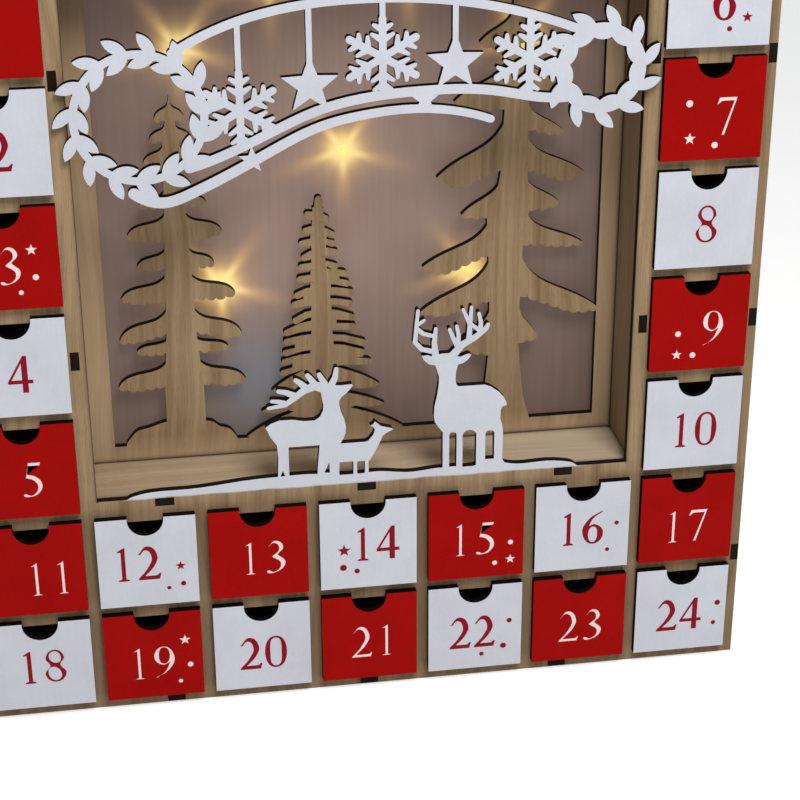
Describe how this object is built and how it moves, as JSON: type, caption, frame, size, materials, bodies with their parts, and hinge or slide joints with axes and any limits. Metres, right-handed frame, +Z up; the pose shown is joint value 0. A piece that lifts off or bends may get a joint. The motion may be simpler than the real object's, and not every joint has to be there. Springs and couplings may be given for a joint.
{
  "type": "wooden advent calendar",
  "caption": "Flat plywood advent calendar with numbered sliding drawers in red and white round a lit window with cut-out fir trees and reindeer",
  "frame": {"origin": "middle of the underside of the base board, level with the surface it stands on", "axes": "+Z up, the drawers open towards -Y, +X to the right seen from the front"},
  "size_m": [0.384, 0.074, 0.378],
  "materials": {
    "plywood": "raw sanded plywood, burnt edges",
    "tray_plywood": "raw plywood",
    "red_paint": "matte red paint on plywood",
    "white_paint": "matte white paint on plywood",
    "backdrop": "matte taupe paint",
    "bulbs": "clear warm white bulbs on thin wire",
    "white_plastic": "fine moulded texture",
    "black_plastic": "moulded"
  },
  "bodies": {
    "case": {"front_panel": "plywood", "case_boards": "plywood", "partition_boards": "plywood", "back_panel": "plywood", "tree_panel": "plywood", "backdrop_panel": "backdrop", "garland": "white_paint", "light_string": "bulbs", "battery_box": "white_plastic"},
    "drawer_01": {"drawer_front_01": "red_paint", "drawer_tray_01": "tray_plywood"},
    "drawer_02": {"drawer_front_02": "white_paint", "drawer_tray_02": "tray_plywood"},
    "drawer_03": {"drawer_front_03": "red_paint", "drawer_tray_03": "tray_plywood"},
    "drawer_04": {"drawer_front_04": "white_paint", "drawer_tray_04": "tray_plywood"},
    "drawer_05": {"drawer_front_05": "red_paint", "drawer_tray_05": "tray_plywood"},
    "drawer_06": {"drawer_front_06": "white_paint", "drawer_tray_06": "tray_plywood"},
    "drawer_07": {"drawer_front_07": "red_paint", "drawer_tray_07": "tray_plywood"},
    "drawer_08": {"drawer_front_08": "white_paint", "drawer_tray_08": "tray_plywood"},
    "drawer_09": {"drawer_front_09": "red_paint", "drawer_tray_09": "tray_plywood"},
    "drawer_10": {"drawer_front_10": "white_paint", "drawer_tray_10": "tray_plywood"},
    "drawer_11": {"drawer_front_11": "red_paint", "drawer_tray_11": "tray_plywood"},
    "drawer_12": {"drawer_front_12": "white_paint", "drawer_tray_12": "tray_plywood"},
    "drawer_13": {"drawer_front_13": "red_paint", "drawer_tray_13": "tray_plywood"},
    "drawer_14": {"drawer_front_14": "white_paint", "drawer_tray_14": "tray_plywood"},
    "drawer_15": {"drawer_front_15": "red_paint", "drawer_tray_15": "tray_plywood"},
    "drawer_16": {"drawer_front_16": "white_paint", "drawer_tray_16": "tray_plywood"},
    "drawer_17": {"drawer_front_17": "red_paint", "drawer_tray_17": "tray_plywood"},
    "drawer_18": {"drawer_front_18": "white_paint", "drawer_tray_18": "tray_plywood"},
    "drawer_19": {"drawer_front_19": "red_paint", "drawer_tray_19": "tray_plywood"},
    "drawer_20": {"drawer_front_20": "white_paint", "drawer_tray_20": "tray_plywood"},
    "drawer_21": {"drawer_front_21": "red_paint", "drawer_tray_21": "tray_plywood"},
    "drawer_22": {"drawer_front_22": "white_paint", "drawer_tray_22": "tray_plywood"},
    "drawer_23": {"drawer_front_23": "red_paint", "drawer_tray_23": "tray_plywood"},
    "drawer_24": {"drawer_front_24": "white_paint", "drawer_tray_24": "tray_plywood"},
    "lid": {"battery_lid": "white_plastic"},
    "switch": {"switch_slider": "black_plastic"}
  },
  "joints": [
    {"name": "drawer_01_slide", "type": "slide", "parent": "case", "child": "drawer_01", "axis": [0, -1, 0], "range_m": [0, 0.05]},
    {"name": "drawer_02_slide", "type": "slide", "parent": "case", "child": "drawer_02", "axis": [0, -1, 0], "range_m": [0, 0.05]},
    {"name": "drawer_03_slide", "type": "slide", "parent": "case", "child": "drawer_03", "axis": [0, -1, 0], "range_m": [0, 0.05]},
    {"name": "drawer_04_slide", "type": "slide", "parent": "case", "child": "drawer_04", "axis": [0, -1, 0], "range_m": [0, 0.05]},
    {"name": "drawer_05_slide", "type": "slide", "parent": "case", "child": "drawer_05", "axis": [0, -1, 0], "range_m": [0, 0.05]},
    {"name": "drawer_06_slide", "type": "slide", "parent": "case", "child": "drawer_06", "axis": [0, -1, 0], "range_m": [0, 0.05]},
    {"name": "drawer_07_slide", "type": "slide", "parent": "case", "child": "drawer_07", "axis": [0, -1, 0], "range_m": [0, 0.05]},
    {"name": "drawer_08_slide", "type": "slide", "parent": "case", "child": "drawer_08", "axis": [0, -1, 0], "range_m": [0, 0.05]},
    {"name": "drawer_09_slide", "type": "slide", "parent": "case", "child": "drawer_09", "axis": [0, -1, 0], "range_m": [0, 0.05]},
    {"name": "drawer_10_slide", "type": "slide", "parent": "case", "child": "drawer_10", "axis": [0, -1, 0], "range_m": [0, 0.05]},
    {"name": "drawer_11_slide", "type": "slide", "parent": "case", "child": "drawer_11", "axis": [0, -1, 0], "range_m": [0, 0.05]},
    {"name": "drawer_12_slide", "type": "slide", "parent": "case", "child": "drawer_12", "axis": [0, -1, 0], "range_m": [0, 0.05]},
    {"name": "drawer_13_slide", "type": "slide", "parent": "case", "child": "drawer_13", "axis": [0, -1, 0], "range_m": [0, 0.05]},
    {"name": "drawer_14_slide", "type": "slide", "parent": "case", "child": "drawer_14", "axis": [0, -1, 0], "range_m": [0, 0.05]},
    {"name": "drawer_15_slide", "type": "slide", "parent": "case", "child": "drawer_15", "axis": [0, -1, 0], "range_m": [0, 0.05]},
    {"name": "drawer_16_slide", "type": "slide", "parent": "case", "child": "drawer_16", "axis": [0, -1, 0], "range_m": [0, 0.05]},
    {"name": "drawer_17_slide", "type": "slide", "parent": "case", "child": "drawer_17", "axis": [0, -1, 0], "range_m": [0, 0.05]},
    {"name": "drawer_18_slide", "type": "slide", "parent": "case", "child": "drawer_18", "axis": [0, -1, 0], "range_m": [0, 0.05]},
    {"name": "drawer_19_slide", "type": "slide", "parent": "case", "child": "drawer_19", "axis": [0, -1, 0], "range_m": [0, 0.05]},
    {"name": "drawer_20_slide", "type": "slide", "parent": "case", "child": "drawer_20", "axis": [0, -1, 0], "range_m": [0, 0.05]},
    {"name": "drawer_21_slide", "type": "slide", "parent": "case", "child": "drawer_21", "axis": [0, -1, 0], "range_m": [0, 0.05]},
    {"name": "drawer_22_slide", "type": "slide", "parent": "case", "child": "drawer_22", "axis": [0, -1, 0], "range_m": [0, 0.05]},
    {"name": "drawer_23_slide", "type": "slide", "parent": "case", "child": "drawer_23", "axis": [0, -1, 0], "range_m": [0, 0.05]},
    {"name": "drawer_24_slide", "type": "slide", "parent": "case", "child": "drawer_24", "axis": [0, -1, 0], "range_m": [0, 0.05]},
    {"name": "battery_lid_off", "type": "slide", "parent": "case", "child": "lid", "axis": [0, 1, 0], "range_m": [0, 0.02]},
    {"name": "switch_slide", "type": "slide", "parent": "case", "child": "switch", "axis": [0, 0, 1], "range_m": [0, 0.0035]}
  ]
}
